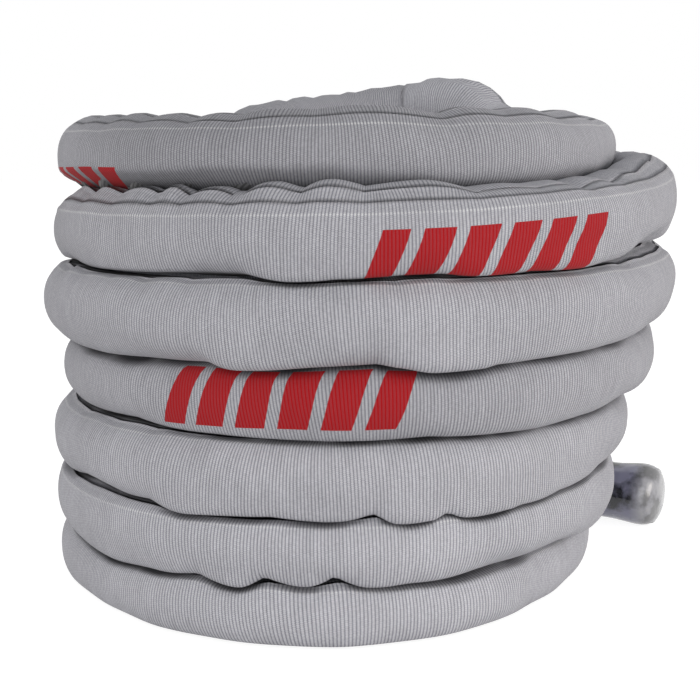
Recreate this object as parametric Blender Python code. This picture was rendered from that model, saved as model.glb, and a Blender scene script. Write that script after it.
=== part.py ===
"""Battle rope in a woven sleeve, wound into a standing coil, with a shrunk boot on each end.

Three strands lie side by side in a baggy woven tube. The tube is one unbroken length that leaves
the lower boot at the right rear, goes round seven times, and is tucked down inside its own coil,
where it ends in the upper boot. The lay of the rope and the weave of the sleeve are left out.
Metres, +Z up, +X to the viewer's right, -Y towards the viewer, with the coil standing on Z = 0.
"""

import math

import bmesh
import bpy
import numpy as np
from mathutils import Matrix, Vector
from mathutils.bvhtree import BVHTree

MM = 0.001

# Rope, tape and sleeve
STRANDS = 3
ROPE_DIAMETER = 38 * MM
STRAND_GAP = 0.5 * MM
REST_GAP = 1 * MM
TAPE_LENGTH = 60 * MM
TAPE_WALL = 0.6 * MM
SLEEVE_GIRTH = 174 * MM
SLEEVE_WALL = 1.2 * MM
GATHERED_WALL = 1.6 * MM
GATHER_LENGTH = 70 * MM
FIT_GAP = 0.3 * MM

# Boot, shrunk over the end of the sleeve
BOOT_LENGTH = 155 * MM
BOOT_WALL = 2.8 * MM
BOOT_TIP_WALL = 6 * MM
BOOT_TIP_FILLET = 14 * MM
BOOT_TIP_CROWN = 3 * MM
BOOT_LIP = 0.8 * MM
BOOT_LIP_LENGTH = 5 * MM
BOOT_WAIST = 1.1 * MM
BOOT_WAIST_SHARE = 0.74
ROPE_END_ROOM = 2 * MM
SLEEVE_END_ROOM = 6 * MM
BOOT_SIDES = 24
FILLET_STEPS = 5

# Coil: one value a turn, from the bottom turn up
COIL_RADIUS = 180 * MM
TURN_RADIUS_SHARES = (0.917, 0.971, 1.001, 1.035, 1.14, 1.142, 0.993)
TURN_SHIFT = 20 * MM
TURN_SHIFT_SHARES = (-1.0, -0.52, -0.47, 0.33, 0.12, 0.98, -0.48)
FRONT_SHARE = 0.57
FIRST_HALF_HEIGHT = 21.2 * MM
TURN_PITCH = 50.5 * MM
TURN_PITCH_SHARES = (0.888, 0.918, 0.905, 1.075, 0.9)
TURN_DRIFT_SHARES = (0.0, 0.19, 0.21, 0.24, 0.27, 0.5, 0.2)
DRIFT_POWER = 3
STEPS_A_TURN = 24
START_ANGLE = math.radians(65)
FIRST_COIL_STEP = 4
LAST_COIL_STEP = 168

# Where in each turn the rope climbs onto it again, and how much of a turn the climb takes
CLIMB_START_SHARES = (0.75, 0.78, 0.79, 0.8, 0.8, 0.78, 0.838)
CLIMB_SPAN_SHARES = (0.25, 0.23, 0.23, 0.24, 0.24, 0.36, 0.12)

# Turns press each other flat up to one sideways shift, as a share of the girth, and not past another
TURN_GAP = 0.8 * MM
TURN_SLIP = 8 * MM
SIDE_PRESSED_SHARE = 0.19
SIDE_FREE_SHARE = 0.27

# Where the rope ends its coil and dips in over the top turn's start, in turns
TAIL_OVER_SHARE = 0.15
CROSSING_SHARE = 0.05
CROSSING_HALF_HEIGHT = 23 * MM

# Free ends of the route
RING_STEP = 40 * MM
ROUTE_DETAIL = 20
MOUTH_STUB = 15 * MM
TAIL_SWELL_SHARE = 0.5
LOWER_BOOT_OUT = 21.6 * MM
LOWER_TIP_ALONG = 176.7 * MM
LOWER_BOOT_TURN = math.radians(32)
TAIL_ROUTE = [
    Vector(point) * MM
    for point in (
        (22, 161, 344),
        (-18, 145, 334),
        (-54, 118, 321),
        (-84, 82, 307),
        (-101, 42, 293),
        (-106, 0, 278),
        (-96, -40, 263),
        (-70, -71, 249),
        (-34, -88, 236),
        (6, -89, 223),
        (43, -73, 210),
        (69, -43, 196),
        (79, -6, 179),
        (70, 28, 160),
        (48, 52, 138),
    )
]
UPPER_MOUTH = Vector((5, 63, 108)) * MM
UPPER_TIP = Vector((-127, 61, 8.7)) * MM

GREY_WEAVE = (0.37, 0.37, 0.4, 1)
BLACK_FIBRE = (0.03, 0.03, 0.032, 1)
BLACK_TAPE = (0.015, 0.015, 0.015, 1)
SLATE_BOOT = (0.05, 0.055, 0.07, 1)
WEAVE_ROUGHNESS = 0.85
FIBRE_ROUGHNESS = 0.8
TAPE_ROUGHNESS = 0.5
BOOT_ROUGHNESS = 0.25

# Sections are hexagons, and a strand's is the four corners of a third of one
HEXAGON_SIDES = 6
HEXAGON_SLANT = math.cos(math.pi / HEXAGON_SIDES)
STRAND_LAST_SIDE = (3,)
SOFT_EDGE = math.radians(80)
CRISP_EDGE = math.radians(45)


def clear_scene():
    for found in list(bpy.data.objects):
        bpy.data.objects.remove(found, do_unlink=True)


def make_material(name, colour, roughness):
    material = bpy.data.materials.new(name)
    material.use_nodes = True
    shader = material.node_tree.nodes["Principled BSDF"]
    shader.inputs["Base Color"].default_value = colour
    shader.inputs["Roughness"].default_value = roughness
    shader.inputs["Metallic"].default_value = 0
    return material


def add_object(name, shape, material, sharp):
    """Turn a finished bmesh into a named object, with edges sharper than an angle left crisp."""
    bmesh.ops.recalc_face_normals(shape, faces=shape.faces)
    mesh = bpy.data.meshes.new(name)
    shape.to_mesh(mesh)
    shape.free()
    mesh.materials.append(material)
    mesh.shade_smooth()
    mesh.set_sharp_from_angle(angle=sharp)
    made = bpy.data.objects.new(name, mesh)
    bpy.context.scene.collection.objects.link(made)
    return made


# The coil's centreline


def ease(share):
    """Smooth step from 0 to 1."""
    return 0.5 - 0.5 * math.cos(math.pi * min(max(share, 0), 1))


def turn_levels():
    """Height of the centreline where each turn begins, and of the rope's last bend above them."""
    pitches = [2 * FIRST_HALF_HEIGHT + TURN_GAP] * 2
    pitches += [TURN_PITCH * share for share in TURN_PITCH_SHARES]
    levels = [FIRST_HALF_HEIGHT]
    for pitch in pitches:
        levels.append(levels[-1] + pitch)
    return levels


def coil_height(turns):
    """Centreline height: a turn drifts up more and more, then climbs over the start of the next."""
    levels = turn_levels()
    begin = 0
    for turn, (start, span) in enumerate(zip(CLIMB_START_SHARES, CLIMB_SPAN_SHARES)):
        climb = turn + start
        top = levels[turn] + TURN_PITCH * TURN_DRIFT_SHARES[turn]
        if turns < climb:
            along = (turns - begin) / (climb - begin)
            return levels[turn] + (top - levels[turn]) * along**DRIFT_POWER
        if turns < climb + span:
            return top + (levels[turn + 1] - top) * ease((turns - climb) / span)
        begin = climb + span
    return levels[-1]


def coil_point(turns):
    """Point on the coil's centreline, counted in turns from the right rear, anticlockwise."""
    fronts = [turn + FRONT_SHARE for turn in range(len(TURN_RADIUS_SHARES))]
    radius = COIL_RADIUS * np.interp(turns, fronts, TURN_RADIUS_SHARES)
    shift = TURN_SHIFT * np.interp(turns, fronts, TURN_SHIFT_SHARES)
    angle = START_ANGLE + math.tau * turns
    return Vector((shift + radius * math.cos(angle), radius * math.sin(angle), coil_height(turns)))


def coil_way(turns):
    """Way that the coil's centreline goes here."""
    step = 1 / STEPS_A_TURN
    return (coil_point(turns + step) - coil_point(turns - step)).normalized()


def shared_half_height(lower_turns, way):
    """Half height of a turn and the one over it where they meet: less where flat lies on flat."""
    step = coil_point(lower_turns + 1) - coil_point(lower_turns)
    aside = abs(step.x * way.y - step.y * way.x) / way.xy.length
    pressed = (step.z - TURN_GAP - TURN_SLIP * way.z) / 2
    aside_share = aside / SLEEVE_GIRTH - SIDE_PRESSED_SHARE
    freed = ease(aside_share / (SIDE_FREE_SHARE - SIDE_PRESSED_SHARE))
    return pressed + max(tallest_half_height() - pressed, 0) * freed


def coil_half_height(turns):
    """The turn's share of the room between its neighbours, up to the full round sleeve."""
    way = coil_way(turns)
    halves = [tallest_half_height()]
    if turns <= len(CLIMB_SPAN_SHARES) - 1 + TAIL_OVER_SHARE:
        halves.append(shared_half_height(turns, way))
    if turns >= 1:
        halves.append(shared_half_height(turns - 1, way))
    else:
        halves.append(coil_height(turns))
    if turns > len(CLIMB_SPAN_SHARES) - CROSSING_SHARE:
        halves.append(CROSSING_HALF_HEIGHT)
    return min(halves) * way.xy.length


# Cross sections, as points (outwards, up)


def full_half_height():
    """Half height of the sleeve where nothing presses it: a regular hexagon of its girth."""
    return SLEEVE_GIRTH / HEXAGON_SIDES * HEXAGON_SLANT


def tallest_half_height():
    """Half height that the sleeve may fill between two turns: the radius of a circle of its girth."""
    return SLEEVE_GIRTH / math.tau


def hexagon(half_width, half_height, inset):
    """Six-sided section with a flat side down, drawn in by an even inset."""
    slant = math.hypot(half_height, half_width / 2) / half_height
    width = half_width - inset * slant
    height = half_height - inset
    flat = width - height * half_width / (2 * half_height)
    return [
        (width, 0),
        (flat, height),
        (-flat, height),
        (-width, 0),
        (-flat, -height),
        (flat, -height),
    ]


def sleeve_half_width(half_height):
    """Half width that leaves the sleeve's girth as woven at this half height."""
    return SLEEVE_GIRTH / 4 - 4 * half_height**2 / SLEEVE_GIRTH


def tape_inner_radius():
    return ROPE_DIAMETER / 2 + FIT_GAP / HEXAGON_SLANT


def tape_outer_radius():
    return tape_inner_radius() + TAPE_WALL / HEXAGON_SLANT


def gathered_radius():
    """Corner radius of the sleeve's outside where the boot holds it gathered."""
    return tape_outer_radius() + (FIT_GAP + GATHERED_WALL) / HEXAGON_SLANT


def sleeve_section(half_height, gather, inside):
    """The sleeve's outer or bore section, between lying free and gathered in a boot."""
    free = hexagon(sleeve_half_width(half_height), half_height, SLEEVE_WALL if inside else 0)
    radius = gathered_radius()
    held = hexagon(radius, radius * HEXAGON_SLANT, GATHERED_WALL if inside else 0)
    return [
        (a + (c - a) * gather, b + (d - b) * gather)
        for (a, b), (c, d) in zip(free, held)
    ]


def strand_section(strand, half_height, gather):
    """One strand: a third of the rope's hexagon, lying on the floor of the sleeve."""
    radius = ROPE_DIAMETER / 2
    inner_radius = radius * HEXAGON_SLANT / 2
    shrink = 1 - STRAND_GAP / 2 / inner_radius
    sag = half_height - SLEEVE_WALL - REST_GAP - radius * HEXAGON_SLANT
    corners = [(0, 0)]
    for step in range(HEXAGON_SIDES // STRANDS + 1):
        angle = math.tau * (strand / STRANDS + step / HEXAGON_SIDES)
        corners.append((radius * math.cos(angle), radius * math.sin(angle)))
    middle = (corners[0][0] + corners[2][0]) / 2, (corners[0][1] + corners[2][1]) / 2
    return [
        (middle[0] + (a - middle[0]) * shrink, middle[1] + (b - middle[1]) * shrink - sag * (1 - gather))
        for a, b in corners
    ]


# The whole route: rings from the lower boot to the upper one


def hermite(start, start_slope, end, end_slope, share):
    """Point on the cubic between two points with the given slopes."""
    square = share * share
    cube = square * share
    return (
        start * (2 * cube - 3 * square + 1)
        + start_slope * (cube - 2 * square + share)
        + end * (3 * square - 2 * cube)
        + end_slope * (cube - square)
    )


def smooth_route(points, start_way, end_way, step):
    """Evenly spaced points on the smooth curve through the points, with the given end ways."""
    ways = [start_way]
    ways += [(after - before).normalized() for before, after in zip(points, points[2:])]
    ways.append(end_way)
    dense = []
    for start, end, way, next_way in zip(points, points[1:], ways, ways[1:]):
        reach = (end - start).length
        for detail in range(ROUTE_DETAIL):
            share = detail / ROUTE_DETAIL
            dense.append(hermite(start, way * reach, end, next_way * reach, share))
    dense.append(points[-1])
    lengths = [0]
    for start, end in zip(dense, dense[1:]):
        lengths.append(lengths[-1] + (end - start).length)
    count = max(round(lengths[-1] / step), 1)
    places = np.linspace(0, lengths[-1], count + 1)
    axes = [np.interp(places, lengths, [point[axis] for point in dense]) for axis in range(3)]
    return [Vector(point) for point in zip(*axes)]


def lower_boot_axis():
    """Mouth of the lower boot and the way to its tip, lying level beside the bottom turn."""
    way = Vector((math.cos(LOWER_BOOT_TURN), -math.sin(LOWER_BOOT_TURN), 0))
    out = Vector((-way.y, way.x, 0))
    mouth = out * (COIL_RADIUS + LOWER_BOOT_OUT) + way * (LOWER_TIP_ALONG - BOOT_LENGTH)
    widest = max(boot_outer_radius(), boot_lip_radius())
    mouth.z = widest * math.cos(math.pi / BOOT_SIDES)
    return mouth, way


def upper_boot_axis():
    """Mouth of the upper boot and the way from there to its tip."""
    way = (UPPER_TIP - UPPER_MOUTH).normalized()
    return UPPER_MOUTH, way


def make_route():
    """Centres of the rings outside the boots, from the lower mouth to the upper one."""
    coil = [
        coil_point(step / STEPS_A_TURN) for step in range(FIRST_COIL_STEP, LAST_COIL_STEP + 1)
    ]
    mouth, way = lower_boot_axis()
    coil_starts = coil_way(FIRST_COIL_STEP / STEPS_A_TURN)
    lead = smooth_route([mouth - way * MOUTH_STUB, coil[0]], -way, coil_starts, RING_STEP)
    lead = [mouth, *lead[:-1]]
    along = 0
    for place, centre in enumerate(lead[1:]):
        along += (centre - lead[place]).length
        centre.z = mouth.z + (FIRST_HALF_HEIGHT - mouth.z) * ease(along / GATHER_LENGTH)
    mouth, way = upper_boot_axis()
    tail = [coil[-1], *TAIL_ROUTE, mouth - way * MOUTH_STUB]
    coil_ends = coil_way(LAST_COIL_STEP / STEPS_A_TURN)
    tail = [*smooth_route(tail, coil_ends, way, RING_STEP)[1:], mouth]
    return lead, coil, tail


def end_rings(room):
    """Centres of the two ring places that end a tube inside the boots, short of the tips."""
    reach = BOOT_LENGTH - BOOT_TIP_WALL - room
    ends = []
    for mouth, way in (lower_boot_axis(), upper_boot_axis()):
        ends.append(mouth + way * reach)
    return ends


def gathered_shares(centres):
    """How far the sleeve is gathered at each ring, from wholly at the first, which is the mouth."""
    shares = [1]
    along = 0
    for before, after in zip(centres, centres[1:]):
        along += (after - before).length
        shares.append(1 - ease(along / GATHER_LENGTH))
    return shares


def ring_sizes(lead, tail):
    """Half height and gathered share of the sleeve at each ring of the route."""
    sizes = [(FIRST_HALF_HEIGHT, gather) for gather in gathered_shares(lead)]
    for step in range(FIRST_COIL_STEP, LAST_COIL_STEP + 1):
        sizes.append((coil_half_height(step / STEPS_A_TURN), 0))
    pressed = sizes[-1][0]
    freed = full_half_height() - pressed
    gathers = reversed(gathered_shares(tail[::-1]))
    for place, gather in enumerate(gathers, 1):
        swell = ease(place / len(tail) / TAIL_SWELL_SHARE)
        sizes.append((pressed + freed * swell, gather))
    return sizes


def ring_frames(centres):
    """Outward and upward unit vectors square to the route at each ring."""
    frames = []
    for place, centre in enumerate(centres):
        before = centres[max(place - 1, 0)]
        after = centres[min(place + 1, len(centres) - 1)]
        way = (centre - before).normalized() + (after - centre).normalized()
        way.normalize()
        up = (Vector((0, 0, 1)) - way * way.z).normalized()
        frames.append((way.cross(up), up))
    return frames


def place_rings(centres, sections):
    """World points of each ring."""
    rings = []
    for centre, (out, up), section in zip(centres, ring_frames(centres), sections):
        rings.append([centre + out * a + up * b for a, b in section])
    return rings


# Meshes


def bridge(shape, rings, turned_sides=()):
    """Two triangles a side between each ring of vertices and the next, split alike all along."""
    for ring, following in zip(rings, rings[1:]):
        for side in range(len(ring)):
            beside = (side + 1) % len(ring)
            corners = [ring[side], ring[beside], following[beside], following[side]]
            if side in turned_sides:
                corners = corners[1:] + corners[:1]
            shape.faces.new(corners[:3])
            shape.faces.new((corners[0], corners[2], corners[3]))


def solid_tube(rings, turned_sides):
    """Closed tube with a flat cap on each end."""
    shape = bmesh.new()
    rows = [[shape.verts.new(point) for point in ring] for ring in rings]
    bridge(shape, rows, turned_sides)
    shape.faces.new(rows[0])
    shape.faces.new(rows[-1])
    return shape


def hollow_tube(outer, inner):
    """Tube with a wall, open at both ends."""
    shape = bmesh.new()
    outside = [[shape.verts.new(point) for point in ring] for ring in outer]
    bore = [[shape.verts.new(point) for point in ring] for ring in inner]
    bridge(shape, outside)
    bridge(shape, bore)
    bridge(shape, [outside[0], bore[0]])
    bridge(shape, [outside[-1], bore[-1]])
    return shape


def turned_shape(profile):
    """Solid turned about X from a profile of (along, radius) that starts and ends on the axis."""
    shape = bmesh.new()
    rows = []
    for along, radius in profile[1:-1]:
        row = []
        for side in range(BOOT_SIDES):
            angle = math.tau * (side + 0.5) / BOOT_SIDES
            row.append(shape.verts.new((along, radius * math.cos(angle), radius * math.sin(angle))))
        rows.append(row)
    bridge(shape, rows)
    for row, (along, _) in ((rows[0], profile[0]), (rows[-1], profile[-1])):
        pole = shape.verts.new((along, 0, 0))
        for side in range(BOOT_SIDES):
            shape.faces.new((row[side], row[(side + 1) % BOOT_SIDES], pole))
    return shape


def boot_bore_radius():
    """Corner radius of the bore whose flats clear the gathered sleeve."""
    return (gathered_radius() + FIT_GAP) / math.cos(math.pi / BOOT_SIDES)


def boot_outer_radius():
    """Corner radius of the boot's body, away from its waist."""
    return boot_bore_radius() + BOOT_WALL


def boot_lip_radius():
    """Corner radius of the thicker lip round the boot's mouth."""
    return boot_outer_radius() - BOOT_WAIST / 2 + BOOT_LIP


def boot_profile():
    """Half outline of the boot from the middle of its tip, along its outside and back up its bore."""
    bore = boot_bore_radius()
    body = boot_outer_radius()
    fillet_end = BOOT_LENGTH - BOOT_TIP_CROWN
    fillet_middle = fillet_end - BOOT_TIP_FILLET
    profile = [(BOOT_LENGTH, 0)]
    for step in range(FILLET_STEPS + 1):
        angle = math.pi / 2 * step / FILLET_STEPS
        along = fillet_middle + BOOT_TIP_FILLET * math.cos(angle)
        profile.append((along, body - BOOT_TIP_FILLET + BOOT_TIP_FILLET * math.sin(angle)))
    profile += [
        (BOOT_LENGTH * BOOT_WAIST_SHARE, body - BOOT_WAIST),
        (BOOT_LENGTH / 2, body - BOOT_WAIST / 2),
        (BOOT_LIP_LENGTH * 2, body - BOOT_WAIST / 2),
        (BOOT_LIP_LENGTH, boot_lip_radius()),
        (0, body - BOOT_WAIST / 2 + BOOT_LIP / 2),
        (0, bore),
        (BOOT_LENGTH - BOOT_TIP_WALL, bore),
        (BOOT_LENGTH - BOOT_TIP_WALL, 0),
    ]
    return profile


# Pieces


def make_sleeve(lead, coil, tail, sizes):
    lower_end, upper_end = end_rings(SLEEVE_END_ROOM)
    centres = [lower_end, *lead, *coil, *tail, upper_end]
    sizes = [sizes[0], *sizes, sizes[-1]]
    outer = place_rings(centres, [sleeve_section(*size, False) for size in sizes])
    inner = place_rings(centres, [sleeve_section(*size, True) for size in sizes])
    grey = make_material("grey_weave", GREY_WEAVE, WEAVE_ROUGHNESS)
    add_object("woven_sleeve", hollow_tube(outer, inner), grey, SOFT_EDGE)
    return outer


def make_strands(lead, coil, tail, sizes):
    lower_end, upper_end = end_rings(ROPE_END_ROOM)
    centres = [lower_end, *lead, *coil, *tail, upper_end]
    sizes = [sizes[0], *sizes, sizes[-1]]
    for strand in range(STRANDS):
        sections = [strand_section(strand, *size) for size in sizes]
        fibre = make_material(f"black_fibre_{strand + 1}", BLACK_FIBRE, FIBRE_ROUGHNESS)
        shape = solid_tube(place_rings(centres, sections), STRAND_LAST_SIDE)
        add_object(f"strand_{strand + 1}", shape, fibre, SOFT_EDGE)
    length = sum((after - before).length for before, after in zip(centres, centres[1:]))
    print(f"rope length {length:.3f} m in {len(centres)} rings")


def make_tapes():
    ends = end_rings(ROPE_END_ROOM)
    axes = lower_boot_axis(), upper_boot_axis()
    outside = tape_outer_radius()
    for name, end, (_, way) in zip(("lower", "upper"), ends, axes):
        centres = [end, end - way * TAPE_LENGTH]
        section = hexagon(outside, outside * HEXAGON_SLANT, 0)
        outer = place_rings(centres, [section] * 2)
        section = hexagon(outside, outside * HEXAGON_SLANT, TAPE_WALL)
        inner = place_rings(centres, [section] * 2)
        tape = make_material(f"tape_{name}", BLACK_TAPE, TAPE_ROUGHNESS)
        add_object(f"end_tape_{name}", hollow_tube(outer, inner), tape, SOFT_EDGE)


def make_boots():
    axes = lower_boot_axis(), upper_boot_axis()
    for name, (mouth, way) in zip(("lower", "upper"), axes):
        shape = turned_shape(boot_profile())
        up = (Vector((0, 0, 1)) - way * way.z).normalized()
        turn = Matrix((way, up.cross(way), up)).transposed().to_4x4()
        boot = make_material(f"boot_{name}", SLATE_BOOT, BOOT_ROUGHNESS)
        made = add_object(f"grip_boot_{name}", shape, boot, CRISP_EDGE)
        made.matrix_world = Matrix.Translation(mouth) @ turn


def least_self_gap(rings):
    """Least distance from any ring point to the tube's skin half a turn or more away."""
    half = STEPS_A_TURN // 2
    blocks = [rings[start : start + half + 1] for start in range(0, len(rings) - 1, half)]
    skins = []
    for block in blocks:
        points = [point for ring in block for point in ring]
        sides = len(block[0])
        faces = []
        for place in range(len(block) - 1):
            for side in range(sides):
                beside = (side + 1) % sides
                low = place * sides
                faces.append((low + side, low + beside, low + sides + beside, low + sides + side))
        skins.append((points, BVHTree.FromPolygons(points, faces)))
    least = math.inf
    for first, (points, _) in enumerate(skins):
        for second, (_, tree) in enumerate(skins):
            if abs(first - second) > 1:
                least = min(least, *(tree.find_nearest(point)[3] for point in points))
    return least


def stand_at_origin():
    """Move all pieces so that the middle of the whole part's base is the origin."""
    bpy.context.view_layer.update()
    points = [
        made.matrix_world @ vertex.co
        for made in bpy.context.scene.objects
        for vertex in made.data.vertices
    ]
    lows = [min(point[axis] for point in points) for axis in range(3)]
    highs = [max(point[axis] for point in points) for axis in range(3)]
    move = Vector(((lows[0] + highs[0]) / 2, (lows[1] + highs[1]) / 2, lows[2]))
    for made in bpy.context.scene.objects:
        made.location -= move
    sizes = [high - low for low, high in zip(lows, highs)]
    print("whole part", [round(size, 4) for size in sizes], "moved by", [round(a, 5) for a in -move])


def main():
    clear_scene()
    lead, coil, tail = make_route()
    sizes = ring_sizes(lead, tail)
    outer = make_sleeve(lead, coil, tail, sizes)
    make_strands(lead, coil, tail, sizes)
    make_tapes()
    make_boots()
    print(f"least gap of the sleeve to itself {least_self_gap(outer) / MM:.2f} mm")
    stand_at_origin()


main()
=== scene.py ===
"""Looks of a battle rope: a laid rope in a baggy woven sleeve, coiled, with a shrunk boot on each end."""

import math

import bmesh
import bpy
import numpy as np
from mathutils import Matrix, Vector


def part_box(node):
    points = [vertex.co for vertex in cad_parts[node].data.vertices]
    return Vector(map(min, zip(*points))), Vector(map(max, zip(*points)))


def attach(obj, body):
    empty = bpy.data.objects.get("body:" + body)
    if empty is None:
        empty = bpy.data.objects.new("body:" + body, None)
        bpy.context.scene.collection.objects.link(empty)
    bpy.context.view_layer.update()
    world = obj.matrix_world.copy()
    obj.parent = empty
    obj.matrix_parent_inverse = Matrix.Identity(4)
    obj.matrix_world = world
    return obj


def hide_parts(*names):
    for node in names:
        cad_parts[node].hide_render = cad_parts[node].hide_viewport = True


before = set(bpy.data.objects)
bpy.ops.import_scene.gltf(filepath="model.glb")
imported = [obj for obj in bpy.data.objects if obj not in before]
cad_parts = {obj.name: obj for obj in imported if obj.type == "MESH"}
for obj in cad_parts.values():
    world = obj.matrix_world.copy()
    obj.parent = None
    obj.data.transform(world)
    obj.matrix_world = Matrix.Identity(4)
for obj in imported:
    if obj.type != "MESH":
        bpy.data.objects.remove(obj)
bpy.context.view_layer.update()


# Camera
# It stands square to the front of the coil, a little above the coil's middle, and looks slightly
# down, as the photograph was taken.
CAMERA_PLACE = (-0.0177, -0.9636, 0.307)
CAMERA_TILT = math.radians(8.7)
CAMERA_LENS = 66.9

lens = bpy.data.cameras.new("front_camera")
lens.lens = CAMERA_LENS
front_camera = bpy.data.objects.new("front_camera", lens)
front_camera.location = CAMERA_PLACE
front_camera.rotation_euler = (math.pi / 2 - CAMERA_TILT, 0, 0)
bpy.context.scene.collection.objects.link(front_camera)
bpy.context.scene.camera = front_camera


# Route of the rope
# One unbroken length of rope leaves the lower boot at the right rear, goes round seven times on a
# level floor, climbs over its own top turn and is tucked down inside, where the upper boot is.
MM = 0.001
ROPE_RADIUS = 19 * MM
SLEEVE_GIRTH = 174 * MM
GATHER_LENGTH = 70 * MM
BOOT_LENGTH = 155 * MM
ROPE_END_IN_BOOT = 147 * MM
BOOT_CENTRE_HEIGHT = 25.557 * MM
COIL_RADIUS = 180 * MM
TURN_RADIUS_SHARES = (0.917, 0.971, 1.001, 1.035, 1.14, 1.142, 0.993)
TURN_SHIFT = 20 * MM
TURN_SHIFT_SHARES = (-1.0, -0.52, -0.47, 0.33, 0.12, 0.98, -0.48)
FRONT_SHARE = 0.57
TURN_GAP = 0.8 * MM
FIRST_HALF_HEIGHT = 21.2 * MM
TURN_PITCH = 50.5 * MM
TURN_PITCH_SHARES = (0.888, 0.918, 0.905, 1.075, 0.9)
TURN_DRIFT_SHARES = (0.0, 0.19, 0.21, 0.24, 0.27, 0.5, 0.2)
DRIFT_POWER = 3
START_ANGLE = math.radians(65)
COIL_START = 4 / 24
COIL_END = 7
CLIMB_START_SHARES = (0.75, 0.78, 0.79, 0.8, 0.8, 0.78, 0.838)
CLIMB_SPAN_SHARES = (0.25, 0.23, 0.23, 0.24, 0.24, 0.36, 0.12)
MOUTH_STUB = 15 * MM
LOWER_BOOT_OUT = 21.6 * MM
LOWER_TIP_ALONG = 176.7 * MM
LOWER_BOOT_TURN = math.radians(32)
TAIL_ROUTE = MM * np.array(
    [
        (22, 161, 344),
        (-18, 145, 334),
        (-54, 118, 321),
        (-84, 82, 307),
        (-101, 42, 293),
        (-106, 0, 278),
        (-96, -40, 263),
        (-70, -71, 249),
        (-34, -88, 236),
        (6, -89, 223),
        (43, -73, 210),
        (69, -43, 196),
        (79, -6, 179),
        (70, 28, 160),
        (48, 52, 138),
    ]
)
UPPER_MOUTH = MM * np.array((5, 63, 108))
UPPER_TIP = MM * np.array((-127, 61, 8.7))
LINE_STEP = 3 * MM
WAY_STEP = 1 / 24
SOFTEN_TURN = 0.02
SOFTEN_PLACES = 5
COIL_PLACES = 2400
WELD = MM / 1000

# Heights of the turns' middles: the lowest three lie straight on each other
pitches = [2 * FIRST_HALF_HEIGHT + TURN_GAP] * 2
pitches += [TURN_PITCH * share for share in TURN_PITCH_SHARES]
LEVELS = [FIRST_HALF_HEIGHT]
for pitch in pitches:
    LEVELS.append(LEVELS[-1] + pitch)


def ease(share):
    """Smooth step from 0 to 1."""
    return 0.5 - 0.5 * np.cos(np.pi * np.clip(share, 0, 1))


def unit(ways):
    return ways / np.linalg.norm(ways, axis=-1, keepdims=True)


def softened(rule, turns):
    """A rule's value averaged over a short stretch of the coil, so that its corners are rounded."""
    spread = np.linspace(-SOFTEN_TURN, SOFTEN_TURN, SOFTEN_PLACES)
    return sum(rule(turns + offset) for offset in spread) / len(spread)


def coil_height(turns):
    """Height of the rope's middle: each turn drifts up, and then climbs over the next one's start."""
    heights = np.full_like(turns, LEVELS[-1])
    begin = 0
    for turn, (start, span) in enumerate(zip(CLIMB_START_SHARES, CLIMB_SPAN_SHARES)):
        climb = turn + start
        top = LEVELS[turn] + TURN_PITCH * TURN_DRIFT_SHARES[turn]
        drifts = (turns >= begin) & (turns < climb)
        along = (turns[drifts] - begin) / (climb - begin)
        heights[drifts] = LEVELS[turn] + (top - LEVELS[turn]) * along**DRIFT_POWER
        climbs = (turns >= climb) & (turns < climb + span)
        rise = ease((turns[climbs] - climb) / span)
        heights[climbs] = top + (LEVELS[turn + 1] - top) * rise
        begin = climb + span
    return heights


def coil_plan(turns):
    """Place of the rope's middle seen from above."""
    fronts = np.arange(len(TURN_RADIUS_SHARES)) + FRONT_SHARE
    radius = COIL_RADIUS * np.interp(turns, fronts, TURN_RADIUS_SHARES)
    shift = TURN_SHIFT * np.interp(turns, fronts, TURN_SHIFT_SHARES)
    angle = START_ANGLE + math.tau * turns
    return np.stack((shift + radius * np.cos(angle), radius * np.sin(angle)), axis=-1)


def coil_points(turns):
    return np.column_stack((coil_plan(turns), coil_height(turns)))


def coil_way(turns):
    return unit(coil_points(turns + WAY_STEP) - coil_points(turns - WAY_STEP))


def smooth_line(points, start_way, end_way):
    """Close points on the smooth curve through some points, with the given end ways."""
    ways = np.array([start_way, *unit(points[2:] - points[:-2]), end_way])
    line = []
    for start, end, way, next_way in zip(points, points[1:], ways, ways[1:]):
        reach = np.linalg.norm(end - start)
        share = np.linspace(0, 1, max(int(reach / LINE_STEP), 2), endpoint=False)[:, None]
        square, cube = share**2, share**3
        line.append(
            start * (2 * cube - 3 * square + 1)
            + way * reach * (cube - 2 * square + share)
            + end * (3 * square - 2 * cube)
            + next_way * reach * (cube - square)
        )
    return np.concatenate((*line, points[-1:]))


def lengths_along(line):
    steps = np.linalg.norm(np.diff(line, axis=0), axis=1)
    return np.concatenate(([0], np.cumsum(steps)))


# The stretch out of the lower boot, with its height eased from the boot's to the first turn's
boot_way = np.array((math.cos(LOWER_BOOT_TURN), -math.sin(LOWER_BOOT_TURN), 0))
boot_out = np.array((-boot_way[1], boot_way[0], 0))
lower_mouth = boot_out * (COIL_RADIUS + LOWER_BOOT_OUT) + boot_way * (LOWER_TIP_ALONG - BOOT_LENGTH)
lower_mouth[2] = BOOT_CENTRE_HEIGHT
coil_turns = np.linspace(COIL_START, COIL_END, COIL_PLACES)
coil_line = coil_points(coil_turns)
coil_line[:, 2] = softened(coil_height, coil_turns)
lead_ends = np.array([lower_mouth - boot_way * MOUTH_STUB, coil_line[0]])
lead_line = smooth_line(lead_ends, -boot_way, coil_way(coil_turns[:1])[0])
lead_line = np.concatenate((lower_mouth[None], lead_line[:-1]))
lead_lengths = lengths_along(lead_line)
lead_line[:, 2] = BOOT_CENTRE_HEIGHT + (FIRST_HALF_HEIGHT - BOOT_CENTRE_HEIGHT) * ease(
    lead_lengths / GATHER_LENGTH
)

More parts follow.
